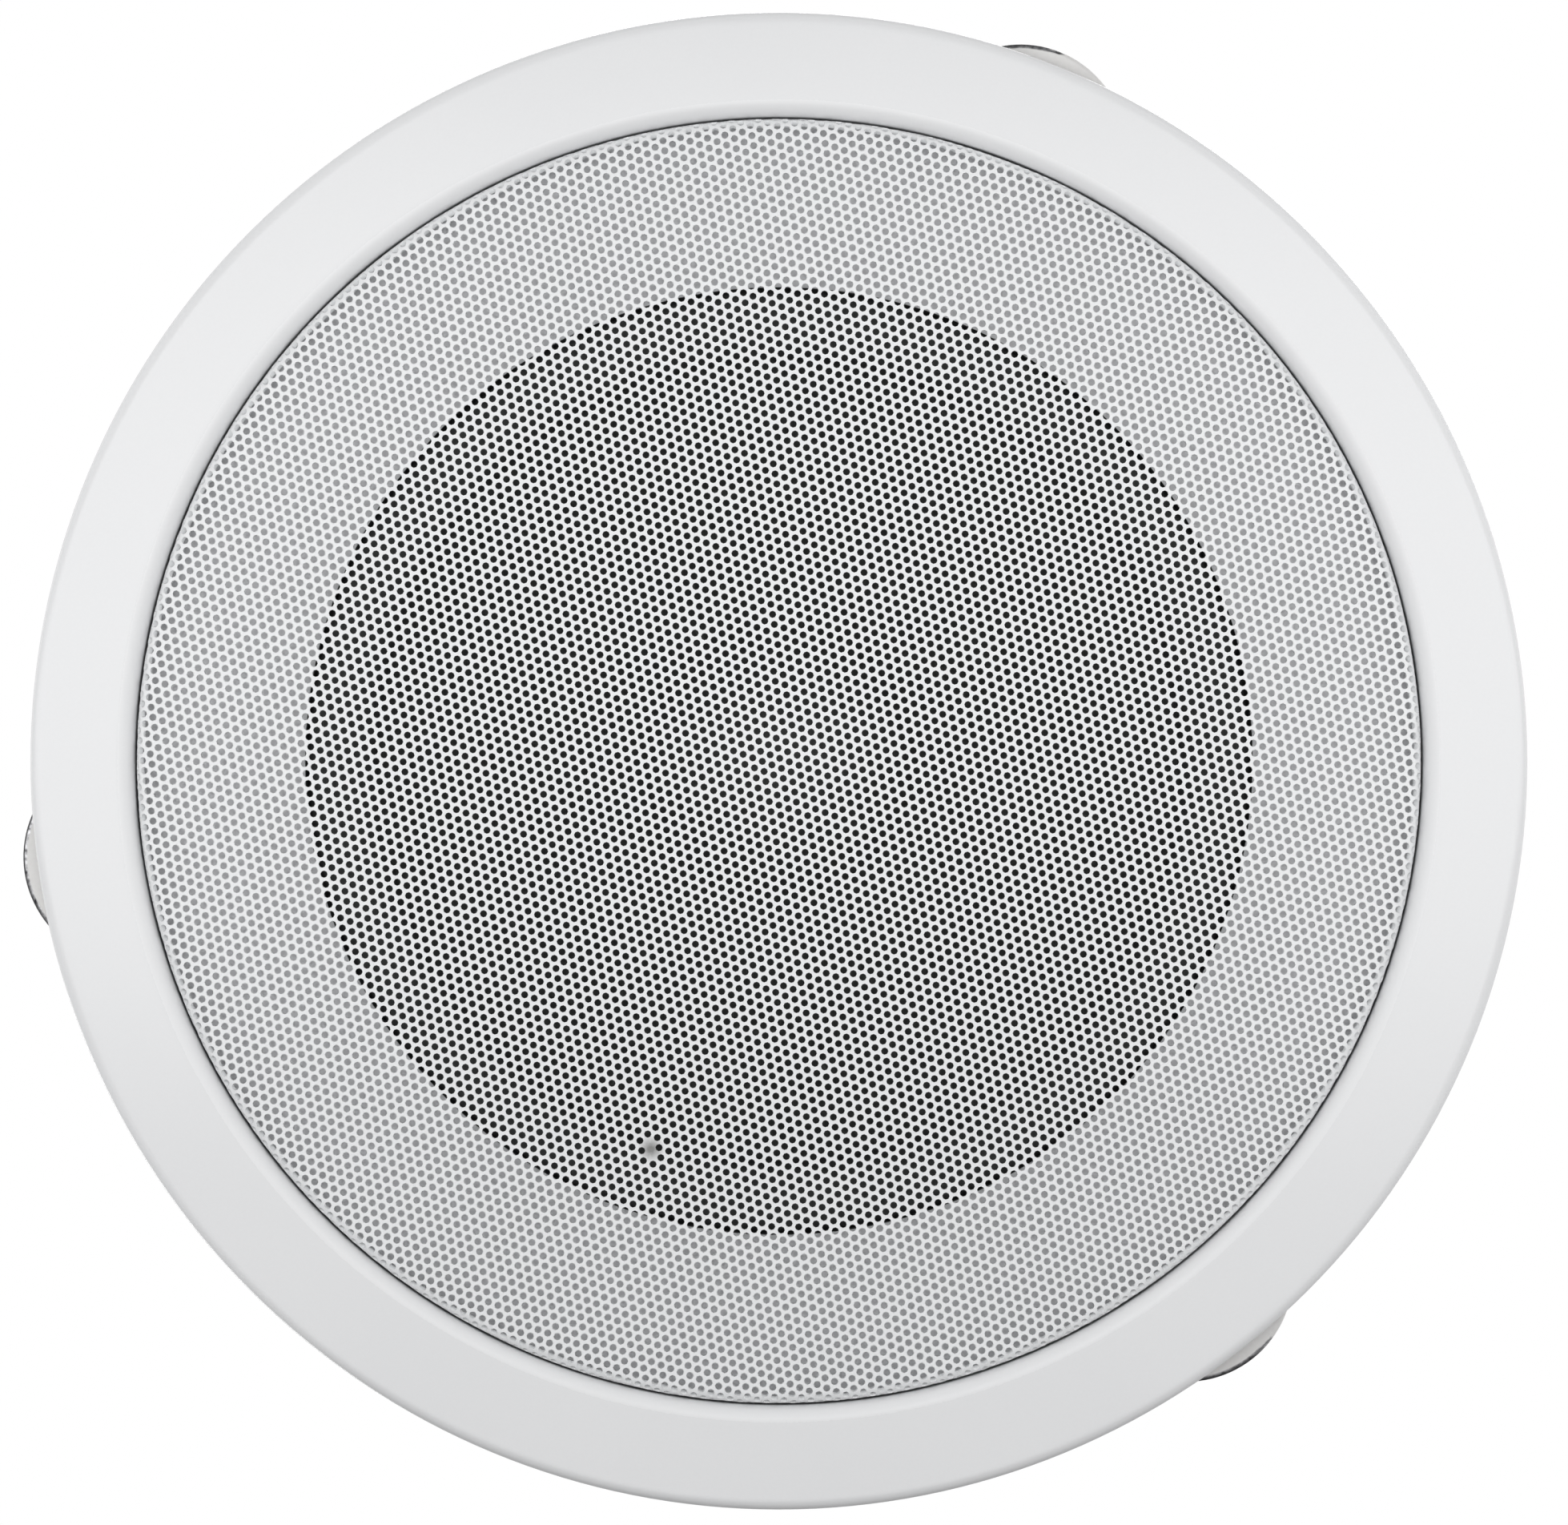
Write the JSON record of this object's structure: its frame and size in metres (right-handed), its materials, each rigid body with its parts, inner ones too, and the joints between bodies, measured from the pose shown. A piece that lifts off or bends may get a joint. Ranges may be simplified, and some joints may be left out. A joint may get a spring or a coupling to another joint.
{
  "type": "ceiling speaker",
  "caption": "Round flush ceiling speaker: white steel flange with a perforated grille, a cone driver behind it and spring clips that clamp it into a ceiling cut-out.",
  "frame": {"origin": "on the speaker's axis, in the plane of the ceiling, which is the back edge of the flange", "axes": "+Z along the axis, up into the ceiling void, so the grille faces -Z; the terminals are towards +X"},
  "size_m": [0.2225, 0.22, 0.0665],
  "materials": {
    "frame_paint": "satin white powder coat",
    "grille_paint": "matt white powder coat",
    "foam": "matt closed-cell foam",
    "basket_paint": "semi-gloss black",
    "surround_foam": "matt",
    "cone_paper": "matt pressed pulp",
    "former_foil": "satin",
    "coil_wire": "enamelled copper",
    "spider_cloth": "impregnated cloth",
    "motor_steel": "zinc plated",
    "ferrite": "ground ferrite",
    "fastener_steel": "zinc plated",
    "board_laminate": "paper laminate",
    "tag_metal": "tinned",
    "lead_braid": "woven tinsel wire",
    "clip_steel": "galvanised, matt",
    "spring_steel": "drawn wire"
  },
  "bodies": {
    "root": {"front_frame": "frame_paint", "grille": "grille_paint", "gasket": "foam", "basket": "basket_paint", "top_plate": "motor_steel", "magnet": "ferrite", "yoke": "motor_steel", "driver_studs": "fastener_steel", "driver_washers": "fastener_steel", "driver_nuts": "fastener_steel", "terminal_board": "board_laminate", "terminal_tags": "tag_metal", "lead_1": "lead_braid", "lead_2": "lead_braid", "clip_bracket_1": "clip_steel", "clip_pin_1": "fastener_steel", "clip_spring_1": "spring_steel", "clip_bracket_2": "clip_steel", "clip_pin_2": "fastener_steel", "clip_spring_2": "spring_steel", "clip_bracket_3": "clip_steel", "clip_pin_3": "fastener_steel", "clip_spring_3": "spring_steel"},
    "diaphragm": {"cone": "cone_paper", "dust_cap": "cone_paper", "coil_former": "former_foil", "voice_coil": "coil_wire", "surround": "surround_foam", "spider": "spider_cloth"},
    "clip_1": {"clip_arm_1": "clip_steel"},
    "clip_2": {"clip_arm_2": "clip_steel"},
    "clip_3": {"clip_arm_3": "clip_steel"}
  },
  "joints": [
    {"name": "clip_1_swing", "type": "hinge", "parent": "root", "child": "clip_1", "pos_m": [0.044, 0.07621, 0.017], "axis": [0.866, -0.5, 0], "range_deg": [0, 120], "stiffness_Nm_per_rad": 0.15, "springref_deg": -40.11, "deforming": ["clip_spring_1"]},
    {"name": "clip_2_swing", "type": "hinge", "parent": "root", "child": "clip_2", "pos_m": [-0.088, 0, 0.017], "axis": [0, 1, 0], "range_deg": [0, 120], "stiffness_Nm_per_rad": 0.15, "springref_deg": -40.11, "deforming": ["clip_spring_2"]},
    {"name": "clip_3_swing", "type": "hinge", "parent": "root", "child": "clip_3", "pos_m": [0.044, -0.07621, 0.017], "axis": [-0.866, -0.5, 0], "range_deg": [0, 120], "stiffness_Nm_per_rad": 0.15, "springref_deg": -40.11, "deforming": ["clip_spring_3"]},
    {"name": "cone_travel", "type": "slide", "parent": "root", "child": "diaphragm", "axis": [0, 0, 1], "range_m": [-0.0025, 0.0025], "stiffness_N_per_m": 2500, "deforming": ["surround", "spider", "lead_1", "lead_2"]}
  ]
}
